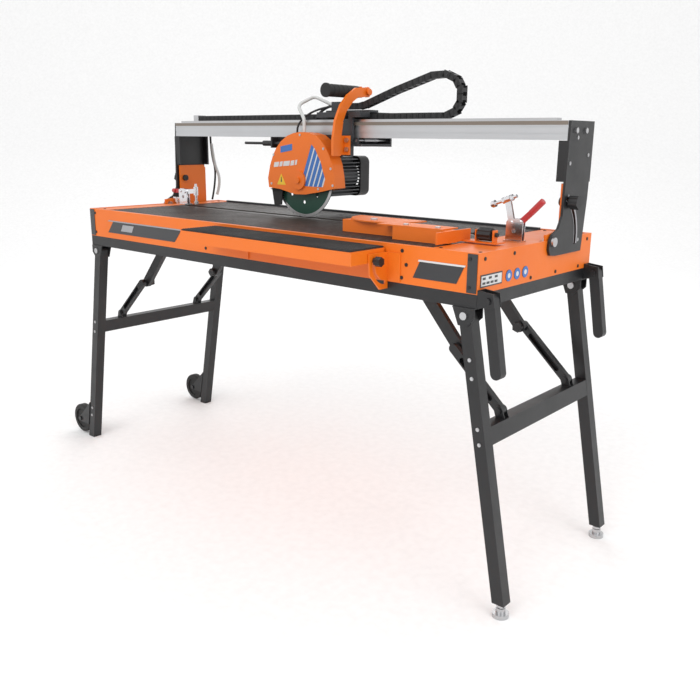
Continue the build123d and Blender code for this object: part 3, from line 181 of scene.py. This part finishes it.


# The edge colours given below are lighter than each base colour: partly wear, partly painted highlight on the
# edges.
STEEL_EDGE = (0.42, 0.42, 0.43)
mats = {
    "orange_paint": surface("OrangePaint", (0.76, 0.155, 0.004), (0.62, 0.11, 0.004),
                            0.46, 0.0, 420.0, 0.00012,
                            (0.78, 0.26, 0.06), coat=0.05, grime=0.35),
    "black_paint": surface("BlackPaint", (0.007, 0.007, 0.008), (0.013, 0.013, 0.014),
                           0.42, 0.0, 520.0, 0.0002,
                           (0.07, 0.07, 0.075), coat=0.1),
    "dark_grey_steel": surface("DarkGreySteel", (0.035, 0.037, 0.042), (0.06, 0.06, 0.063),
                               0.45, 0.2, 420.0, 0.0002,
                               STEEL_EDGE),
    "table_coating": surface("TableCoating", (0.022, 0.014, 0.011), (0.05, 0.04, 0.034),
                             0.5, 0.0, 300.0, 0.0003,
                             (0.12, 0.09, 0.07), grime=0.8, speckle=(0.09, 0.08, 0.07)),
    "aluminium": surface("BrushedAluminium", (0.56, 0.57, 0.585), (0.46, 0.47, 0.485),
                         0.34, 0.85, 500.0, 0.00012,
                         None, (0.02, 1.0, 1.0), grime=0.5),
    "steel": surface("ZincSteel", (0.55, 0.55, 0.56), (0.38, 0.38, 0.38), 0.3, 1.0, 380.0, 0.00015, None),
    "black_plastic": surface("BlackPlastic", (0.010, 0.010, 0.011), (0.02, 0.02, 0.021),
                             0.5, 0.0, 900.0, 0.0002,
                             (0.05, 0.05, 0.052)),
    "rubber_black": surface("BlackRubber", (0.014, 0.014, 0.014), (0.04, 0.038, 0.036),
                            0.72, 0.0, 700.0, 0.0004,
                            None, grime=0.7),
    "red_grip": surface("RedGrip", (0.42, 0.01, 0.012), (0.30, 0.01, 0.01),
                        0.28, 0.0, 600.0, 0.0001, None, coat=0.4),
    "green_blade": surface("GreenBlade", (0.012, 0.055, 0.036), (0.02, 0.07, 0.05),
                           0.33, 0.25, 400.0, 0.0001, None),
    "motor_grey": surface("MotorGrey", (0.09, 0.095, 0.10), (0.06, 0.063, 0.07), 0.42, 0.5, 500.0, 0.0003,
                          (0.2, 0.2, 0.21)),
    "hose_clear": surface("ClearHose", (0.55, 0.56, 0.55), (0.42, 0.43, 0.42),
                          0.2, 0.0, 300.0, 0.0001, None, coat=0.5),
    "label_print": surface("LabelPrint", (0.018, 0.019, 0.022), (0.03, 0.03, 0.032),
                           0.35, 0.0, 700.0, 0.0001, None,
                           coat=0.3),
}
white_print = surface("WhitePrint", (0.62, 0.62, 0.62), (0.5, 0.5, 0.5), 0.4, 0.0, 600.0, 0.00008, None)
blue_print = surface("BluePrint", (0.02, 0.13, 0.42), (0.02, 0.10, 0.34),
                     0.35, 0.0, 600.0, 0.00008, None, coat=0.3)
silver_print = surface("SilverPrint", (0.36, 0.36, 0.38), (0.3, 0.3, 0.3), 0.4, 0.4, 600.0, 0.00008, None)
chrome = surface("ChromeSteel", (0.78, 0.78, 0.80), (0.6, 0.6, 0.61),
                 0.2, 1.0, 260.0, 0.0001, None, grime=0.2)
taupe = surface("TaupeStrip", (0.20, 0.17, 0.14), (0.15, 0.13, 0.11), 0.5, 0.1, 300.0, 0.0002, None)
yellow_print = surface("YellowPrint", (0.75, 0.48, 0.02), (0.6, 0.4, 0.02), 0.4, 0.0, 600.0, 0.00008, None)

slot_of = {part["node"]: part["material_slot"] for part in frame["record"]["subparts"]}
for name, obj in nodes.items():
    obj.data.materials.clear()
    obj.data.materials.append(mats[slot_of[name]])


def repaint(name, material, chosen):
    """Gives the polygons of one node whose middle passes chosen(x, y, z), in mm, another material."""
    data = nodes[name].data
    data.materials.append(material)
    place = nodes[name].matrix_world
    for polygon in data.polygons:
        middle = (place @ polygon.center - SHIFT) * 1000
        if chosen(middle.x, middle.y, middle.z):
            polygon.material_index = len(data.materials) - 1


def near_screw(x, y, z):
    return any(math.hypot(x - u, y - v) < 9.5 for u, v in GUIDE_SCREWS)


repaint("bevel_supports", mats["steel"], lambda x, y, z: not SUPPORT_SKIN[0] < abs(x) < SUPPORT_SKIN[1])
repaint("guide_scale", mats["orange_paint"], lambda x, y, z: not near_screw(x, y, z))
for name in ("clamp_bases", "clamp_arm_right", "clamp_arm_left"):
    repaint(name, chrome, lambda x, y, z: True)


# ---- meshes ---------------------------------------------------------------------------------------
def mesh_piece(name, verts, faces, material, smooth=False):
    data = bpy.data.meshes.new(name)
    data.from_pydata([tuple(v) for v in verts], [], faces)
    data.validate()
    data.materials.append(material)
    obj = bpy.data.objects.new(name, data)
    bpy.context.scene.collection.objects.link(obj)
    if smooth:
        for polygon in data.polygons:
            polygon.use_smooth = True
    return obj


BOX_FACES = [(0, 3, 2, 1), (4, 5, 6, 7), (0, 1, 5, 4), (1, 2, 6, 5), (2, 3, 7, 6), (3, 0, 4, 7)]


def flat_plate(name, points, axis, near, thick, material):
    """A thin printed plate: points in the two other axes, from near to near + thick along the axis."""
    count = len(points)
    verts = []
    for level in (near, near + thick):
        for u, v in points:
            verts.append(at(u, level, v) if axis == "y" else at(level, u, v))
    faces = [tuple(range(count)), tuple(range(2 * count - 1, count - 1, -1))]
    faces += [(i, i + count, (i + 1) % count + count, (i + 1) % count) for i in range(count)]
    obj = mesh_piece(name, verts, faces, material)
    fix_normals(obj)
    return obj


def fix_normals(obj):
    work = bmesh.new()
    work.from_mesh(obj.data)
    bmesh.ops.recalc_face_normals(work, faces=work.faces)
    work.to_mesh(obj.data)
    work.free()


def tube(name, points, radius_mm, material):
    """A cable or hose through given points, in millimetres."""
    curve = bpy.data.curves.new(name, "CURVE")
    curve.dimensions = "3D"
    curve.bevel_depth = radius_mm / 1000
    curve.bevel_resolution = 4
    curve.resolution_u = 10
    curve.use_fill_caps = True
    spline = curve.splines.new("NURBS")
    spline.points.add(len(points) - 1)
    for point, place in zip(spline.points, points):
        point.co = (*at(*place), 1.0)
    spline.order_u = 3
    spline.use_endpoint_u = True
    curve.materials.append(material)
    obj = bpy.data.objects.new(name, curve)
    bpy.context.scene.collection.objects.link(obj)
    return obj


# ---- cable chain: links along its path, in three pieces ---------------------------------------------
CHAIN_PATH = [(-625, 1092), (368, 1092), (396, 1103), (412, 1126), (412, 1156), (396, 1182),
              (366, 1195), (323, 1194), (203, 1160), (100, 1126), (76, 1121), (14, 1121)]
CHAIN_PITCH = 20.0
LOW_RUN_TOP = 1092.5
LOOP_START = 323.0


def walk(path, pitch):
    """Places every pitch along a path of straight runs: (x, z, heading)."""
    found = []
    left = 0.0
    for (x0, z0), (x1, z1) in zip(path, path[1:]):
        run = math.hypot(x1 - x0, z1 - z0)
        heading = math.atan2(z1 - z0, x1 - x0)
        while left < run:
            found.append((x0 + (x1 - x0) * left / run, z0 + (z1 - z0) * left / run, heading))
            left += pitch
        left -= run
    return found


def link_mesh(verts, faces, x, z, heading):
    """One chain link: two side cheeks and two cross bars, standing across the chain."""
    parts = [(-11.0, 11.0, 116.5, 119.5, -8.6, 8.6), (-11.0, 11.0, 136.5, 139.5, -8.6, 8.6),
             (-5.0, 5.0, 119.5, 136.5, 6.2, 8.6), (-5.0, 5.0, 119.5, 136.5, -8.6, -6.2),
             (-3.5, 3.5, 115.3, 116.5, -3.5, 3.5), (-3.5, 3.5, 139.5, 140.7, -3.5, 3.5)]
    c, s = math.cos(heading), math.sin(heading)
    for x0, x1, y0, y1, z0, z1 in parts:
        start = len(verts)
        for u, y, w in ((x0, y0, z0), (x1, y0, z0), (x1, y1, z0), (x0, y1, z0),
                        (x0, y0, z1), (x1, y0, z1), (x1, y1, z1), (x0, y1, z1)):
            verts.append(at(x + u * c - w * s, y, z + u * s + w * c))
        faces += [tuple(start + i for i in face) for face in BOX_FACES]


def chain():
    places = walk(CHAIN_PATH, CHAIN_PITCH)
    low = [p for p in places if p[1] < LOW_RUN_TOP]
    turn = [p for p in places if p[1] >= LOW_RUN_TOP and p[0] > LOOP_START]
    high = [p for p in places if p[1] >= LOW_RUN_TOP and p[0] <= LOOP_START]
    made = []
    for name, group in (("chain_low_run", low), ("chain_loop", turn), ("chain_high_run", high)):
        verts, faces = [], []
        for x, z, heading in group:
            link_mesh(verts, faces, x, z, heading)
        made.append(mesh_piece(name, verts, faces, mats["black_plastic"]))
    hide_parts("cable_chain")
    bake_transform(made[0])
    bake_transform(made[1])
    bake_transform(made[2])


chain()


# ---- printed plates: generic shapes only -------------------------------------------------------------
def rectangle(u, v, wide, high):
    return [(u, v), (u + wide, v), (u + wide, v + high), (u, v + high)]


def prints():
    front = TRAY_FRONT - 1.0
    side = TRAY_END + 0.95
    left_stripe = [(-631, 774), (-622, 777.5), (-262, 777.5), (-257, 774)]
    left_bars = [(-560, 748), (-548, 768), (-490, 768), (-502, 748)]
    right_stripe = [(577, 776), (579, 780), (700, 780), (697, 776)]
    made = [
        flat_plate("left_stripe_silver", left_stripe, "y", front, PRINT, silver_print),
        flat_plate("left_plate_bars", left_bars, "y", front, THIN_PRINT, silver_print),
        flat_plate("right_stripe_white", right_stripe, "y", front, PRINT, white_print),
        flat_plate("rating_plate_white", rectangle(-252, 738, 81, 21), "x", side, THIN_PRINT, white_print),
    ]
    rows = [(-248, 741), (-232, 741), (-216, 741), (-200, 741), (-248, 751), (-224, 751), (-200, 751)]
    for i, (y, z) in enumerate(rows):
        mark = rectangle(y, z, 12, 5)
        made.append(flat_plate(f"rating_mark_{i}", mark, "x", side + 0.35, 0.15, mats["label_print"]))
    for i, y in enumerate((-140, -104, -68)):
        for j, (radius, material) in enumerate(((12.8, blue_print), (5.5, white_print))):
            turns = [k * math.pi / 12 for k in range(24)]
            points = [(y + radius * math.cos(a), 748 + radius * math.sin(a)) for a in turns]
            made.append(flat_plate(f"round_sign_{i}_{j}", points, "x", side + j * 0.35, THIN_PRINT, material))
    for obj in made:
        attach(obj, "base")


prints()
edge_strip = rectangle(-BEAM_LENGTH / 2, 1068, BEAM_LENGTH, 9)
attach(flat_plate("beam_edge_strip", edge_strip, "y", BEAM_FRONT - 0.5, PRINT, taupe), "bridge")


def slanted_bands(face):
    """Blue and white bands on the guard's right half, cut off where its edge curves down."""
    low, lean, pitch, wide = 898.0, 0.39, 18.0, 13.0
    tops = (1015.0, 1003.0, 985.0, 968.0, 943.0, 920.0)
    made = []
    for i in range(len(tops) - 1):
        x0 = -62.0 + pitch * i
        middle_top = tops[i] + (tops[i + 1] - tops[i]) * wide / pitch
        edges = ((x0, tops[i]), (x0 + wide, middle_top), (x0 + pitch, tops[i + 1]))
        for (left, left_top), (right, right_top), material in (
            (edges[0], edges[1], blue_print), (edges[1], edges[2], white_print),
        ):
            corners = [(left, low), (right, low), (right + (right_top - low) * lean, right_top),
                       (left + (left_top - low) * lean, left_top)]
            made.append(flat_plate(f"guard_band_{len(made)}", corners, "y", face, PRINT, material))
    return made


def guard_prints():
    face = GUARD_FACE - 0.5
    made = slanted_bands(face)
    warning = [(-158, 898), (-122, 898), (-140, 930)]
    warning_mark = [(-142.5, 906), (-137.5, 906), (-139, 921), (-141, 921)]
    badge = [(-142, 990), (-94, 998), (-94, 1016), (-142, 1008)]
    made.append(flat_plate("guard_warning", warning, "y", face, PRINT, yellow_print))
    made.append(flat_plate("guard_warning_mark", warning_mark, "y", face - 0.25, 0.25, mats["label_print"]))
    made.append(flat_plate("guard_badge", badge, "y", face, PRINT, blue_print))
    for i, (x, wide) in enumerate(((-172, 20), (-148, 12), (-132, 26), (-102, 14), (-84, 8))):
        rise = 2 * i
        mark = [(x, 948 + rise), (x + wide, 950 + rise), (x + wide + 3, 964 + rise), (x + 3, 962 + rise)]
        made.append(flat_plate(f"guard_mark_{i}", mark, "y", face, PRINT, white_print))
    for obj in made:
        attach(obj, "head")


guard_prints()


# ---- screws and rivets, scattered by one node group ----------------------------------------------------
def screw_group():
    """Instances a button-head screw with a hexagonal socket on every point, then realizes them and gives them
    one material.
    """
    group = bpy.data.node_groups.new("Screws", "GeometryNodeTree")
    face = group.interface
    face.new_socket("Geometry", in_out="INPUT", socket_type="NodeSocketGeometry")
    radius = face.new_socket("Head radius", in_out="INPUT", socket_type="NodeSocketFloat")
    depth = face.new_socket("Head depth", in_out="INPUT", socket_type="NodeSocketFloat")
    turn = face.new_socket("Turn", in_out="INPUT", socket_type="NodeSocketVector")
    material = face.new_socket("Material", in_out="INPUT", socket_type="NodeSocketMaterial")
    face.new_socket("Geometry", in_out="OUTPUT", socket_type="NodeSocketGeometry")
    add = group.nodes.new
    links = group.links.new
    source, sink = add("NodeGroupInput"), add("NodeGroupOutput")
    head = add("GeometryNodeMeshCylinder")
    head.inputs["Vertices"].default_value = 20
    links(source.outputs["Head radius"], head.inputs["Radius"])
    links(source.outputs["Head depth"], head.inputs["Depth"])
    hexagon = add("GeometryNodeMeshCylinder")
    hexagon.inputs["Vertices"].default_value = 6
    small, deep = add("ShaderNodeMath"), add("ShaderNodeMath")
    small.operation = deep.operation = "MULTIPLY"
    small.inputs[1].default_value, deep.inputs[1].default_value = 0.62, 1.7
    links(source.outputs["Head radius"], small.inputs[0])
    links(source.outputs["Head depth"], deep.inputs[0])
    links(small.outputs[0], hexagon.inputs["Radius"])
    links(deep.outputs[0], hexagon.inputs["Depth"])
    joined = add("GeometryNodeJoinGeometry")
    links(head.outputs["Mesh"], joined.inputs["Geometry"])
    links(hexagon.outputs["Mesh"], joined.inputs["Geometry"])
    spread = add("GeometryNodeInstanceOnPoints")
    to_turn = add("FunctionNodeEulerToRotation")
    links(source.outputs["Turn"], to_turn.inputs["Euler"])
    links(source.outputs["Geometry"], spread.inputs["Points"])
    links(joined.outputs["Geometry"], spread.inputs["Instance"])
    links(to_turn.outputs["Rotation"], spread.inputs["Rotation"])
    real = add("GeometryNodeRealizeInstances")
    links(spread.outputs["Instances"], real.inputs["Geometry"])
    paint = add("GeometryNodeSetMaterial")
    links(real.outputs["Geometry"], paint.inputs["Geometry"])
    links(source.outputs["Material"], paint.inputs["Material"])
    links(paint.outputs["Geometry"], sink.inputs["Geometry"])
    return group, {"radius": radius.identifier, "depth": depth.identifier, "turn": turn.identifier,
                   "material": material.identifier}


group, keys = screw_group()
TURNS = {"x": (0.0, math.pi / 2, 0.0), "y": (math.pi / 2, 0.0, 0.0), "z": (0.0, 0.0, 0.0)}


def screws(name, places, axis, radius, depth, material, body):
    carrier = mesh_piece(name + "_points", [at(*p) for p in places], [], material)
    mod = carrier.modifiers.new("Screws", "NODES")
    mod.node_group = group
    mod[keys["radius"]] = radius / 1000
    mod[keys["depth"]] = depth / 1000
    mod[keys["turn"]] = TURNS[axis]
    mod[keys["material"]] = material
    graph = bpy.context.evaluated_depsgraph_get()
    data = bpy.data.meshes.new_from_object(carrier.evaluated_get(graph), depsgraph=graph)
    bpy.data.objects.remove(carrier)
    obj = bpy.data.objects.new(name, data)
    bpy.context.scene.collection.objects.link(obj)
    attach(obj, body)


steel, black = mats["steel"], mats["black_plastic"]
fascia_front = TRAY_FRONT - 0.7
POST_SCREWS = ((129, 1040), (98, 982), (190, 1000), (170, 800))
screws("guard_screws_front", [(x, GUARD_FACE - 0.4, z) for x, z in (
    (-182, 900), (-172, 984), (-62, 1041), (30, 1004), (58, 950), (66, 904), (10, 892),
)], "y", 3.6, 1.6, steel, "head")
screws("fascia_screws", [(x, fascia_front, z) for x, z in (
    (-700, 735), (-700, 795), (-150, 735), (533, 795), (533, 735), (545, 765),
)] + [(710, -266.9, 795), (710, -266.9, 735)], "y", 4.2, 1.2, black, "base")
screws("end_screws", [(TRAY_END + 0.7, y, z) for y, z in (
    (-240, 795), (-120, 795), (240, 795), (-40, 731), (80, 731), (200, 731),
)], "x", 4.2, 1.2, black, "base")
for side, x in (("right", POST_FACE + 0.7), ("left", -POST_FACE - 0.7)):
    screws("post_screws_" + side, [(x, y, z) for y, z in POST_SCREWS], "x", 4.4, 1.4, steel, "bridge")
RIGHT_LEG_SCREWS = ((720, 580), (728, 540), (749, 430), (755, 396))
LEFT_LEG_SCREWS = ((-749, 430), (-755, 396), (-809, 112), (-815, 84))
for side, places in (("right", RIGHT_LEG_SCREWS), ("left", LEFT_LEG_SCREWS)):
    rows = [(x, fascia_front, z) for x, z in places]
    screws("leg_screws_" + side, rows, "y", 4.4, 1.6, steel, "leg_" + side)
screws("platform_screws", [(x, y, TABLE_PLATFORM + 0.4) for x, y in (
    (615, -235), (615, 235), (715, -235), (715, 235), (-690, -235), (-690, 235),
)], "z", 4.2, 1.2, black, "base")


# ---- blade rim, slot lips, wheel hubs --------------------------------------------------------------------
def band(name, axis, centre, inner, outer, start, stop, near, thick, count, material):
    """A flat ring or part ring, square in section, about an axis through centre."""
    full = stop - start >= 360
    steps = count if full else count + 1
    verts, faces = [], []
    for i in range(steps):
        a = math.radians(start + (stop - start) * i / count)
        for radius in (inner, outer):
            for level in (near, near + thick):
                u, v = centre[0] + radius * math.cos(a), centre[1] + radius * math.sin(a)
                verts.append(at(u, level, v) if axis == "y" else at(level, u, v))
    for i in range(count):
        a, b = 4 * i, 4 * ((i + 1) % steps)
        faces += [(a, b, b + 1, a + 1), (a + 2, a + 3, b + 3, b + 2)]
        faces += [(a, a + 2, b + 2, b), (a + 1, b + 1, b + 3, a + 3)]
    if not full:
        end = 4 * count
        faces += [(0, 1, 3, 2), (end, end + 2, end + 3, end + 1)]
    obj = mesh_piece(name, verts, faces, material)
    fix_normals(obj)
    return obj


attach(band("blade_rim", "y", ARBOR, 106.5, 114.9, 0, 360, BLADE_FACE, 3.0, 96, mats["steel"]), "blade")
for side, near in (("right", POST_FACE + 0.05), ("left", -POST_FACE - 0.85)):
    for lip, inner, outer in (("inner", 105.4, 106.8), ("outer", 117.2, 123.2)):
        arc = band(f"slot_lip_{side}_{lip}", "x", PIVOT, inner, outer, -6, 60, near, 0.8, 24, silver_print)
        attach(arc, "bridge")
for body, y in (("wheel_f", -WHEEL_Y), ("wheel_r", WHEEL_Y)):
    for face, near in (("near", y - 9.4), ("far", y + 7.0)):
        hub = band(f"hub_{body}_{face}", "y", WHEEL_AXLE, 9.0, 13.4, 0, 360, near, 2.4, 24, silver_print)
        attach(hub, body)


# ---- cables and hoses between fixed ends ---------------------------------------------------------------
def cables():
    black = mats["black_plastic"]
    motor_cable = [(-22, 128, 1126), (-70, 120, 1120), (-100, 110, 1060), (-110, 120, 1000), (-104, 130, 965)]
    motor_loop = [(30, 82, 1084), (40, 64, 1060), (56, 66, 1012), (20, 74, 985), (8, 100, 960)]
    thin_cable = [(-22, 118, 1122), (-60, 90, 1116), (-120, 74, 1080), (-130, 74, 1040), (-118, 80, 990)]
    post_hose = [(-705, 222, 1010), (-712, 236, 940), (-690, 250, 880), (-700, 236, 830)]
    post_cable = [(-700, 214, 1050), (-718, 228, 980), (-706, 244, 900), (-716, 226, 812)]
    for name, points, radius, material, body in (
        ("motor_cable", motor_cable, 4.0, black, "head"),
        ("motor_loop", motor_loop, 3.5, black, "head"),
        ("thin_cable", thin_cable, 3.0, black, "head"),
        ("post_hose", post_hose, 5.0, mats["hose_clear"], "bridge"),
        ("post_cable", post_cable, 3.5, black, "bridge"),
    ):
        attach(tube(name, points, radius, material), body)


cables()


# ---- stage, light and camera -----------------------------------------------------------------------------
CAMERA_YAW = 40.95


def stage():
    floor_mat = surface("PaleFloor", (0.9, 0.9, 0.9), (0.88, 0.88, 0.88),
                        0.75, 0.0, 40.0, 0.00002, None, grime=0.1)
    # floor that curves up into a backdrop behind the machine, square to the camera's heading
    heading = math.radians(CAMERA_YAW)
    ahead = Vector((-math.sin(heading), math.cos(heading), 0))
    side = Vector((ahead.y, -ahead.x, 0))
    flat, curve, wall, steps = 4.0, 3.0, 9.0, 12
    profile = [(-wall, 0.0), (flat, 0.0)]
    for step in range(1, steps + 1):
        angle = step * math.pi / 2 / steps
        profile.append((flat + curve * math.sin(angle), curve - curve * math.cos(angle)))
    profile.append((flat + curve, wall))
    verts = [ahead * u + side * v + Vector((0, 0, w)) for u, w in profile for v in (-12.0, 12.0)]
    faces = [(2 * i, 2 * i + 1, 2 * i + 3, 2 * i + 2) for i in range(len(profile) - 1)]
    floor = mesh_piece("floor", verts, faces, floor_mat, True)
    world = bpy.data.worlds.new("Studio")
    bpy.context.scene.world = world
    world.use_nodes = True
    background = world.node_tree.nodes["Background"]
    background.inputs["Color"].default_value = (1.0, 1.0, 1.0, 1.0)
    background.inputs["Strength"].default_value = 1.0
    for name, place, aim, size, watts in (
        ("key", (0.6, -4.2, 4.2), (0.0, 0.0, 0.8), 3.0, 85.0),
        ("side", (4.6, -0.8, 2.8), (0.0, 0.0, 0.8), 3.0, 55.0),
        ("back", (-3.0, 3.6, 3.6), (0.0, 0.0, 0.9), 3.0, 45.0),
    ):
        data = bpy.data.lights.new(name, "AREA")
        data.size = size
        data.energy = watts
        light = bpy.data.objects.new(name, data)
        light.location = place
        light.rotation_euler = (Vector(aim) - Vector(place)).to_track_quat("-Z", "Y").to_euler()
        bpy.context.scene.collection.objects.link(light)
    bpy.context.scene.view_settings.view_transform = "Standard"


stage()

camera_data = bpy.data.cameras.new("camera")
camera_data.sensor_width = 36.0
camera_data.lens = 40.64
camera_data.clip_end = 100.0
camera = bpy.data.objects.new("camera", camera_data)
camera.location = Vector((1.5883, -1.6536, 1.0347)) + SHIFT
yaw, pitch, roll = math.radians(CAMERA_YAW), math.radians(15.04), math.radians(0.57)
camera.matrix_world = (
    Matrix.Translation(camera.location)
    @ Matrix.Rotation(yaw, 4, "Z")
    @ Matrix.Rotation(math.pi / 2 - pitch, 4, "X")
    @ Matrix.Rotation(roll, 4, "Z")
)
bpy.context.scene.collection.objects.link(camera)
bpy.context.scene.camera = camera
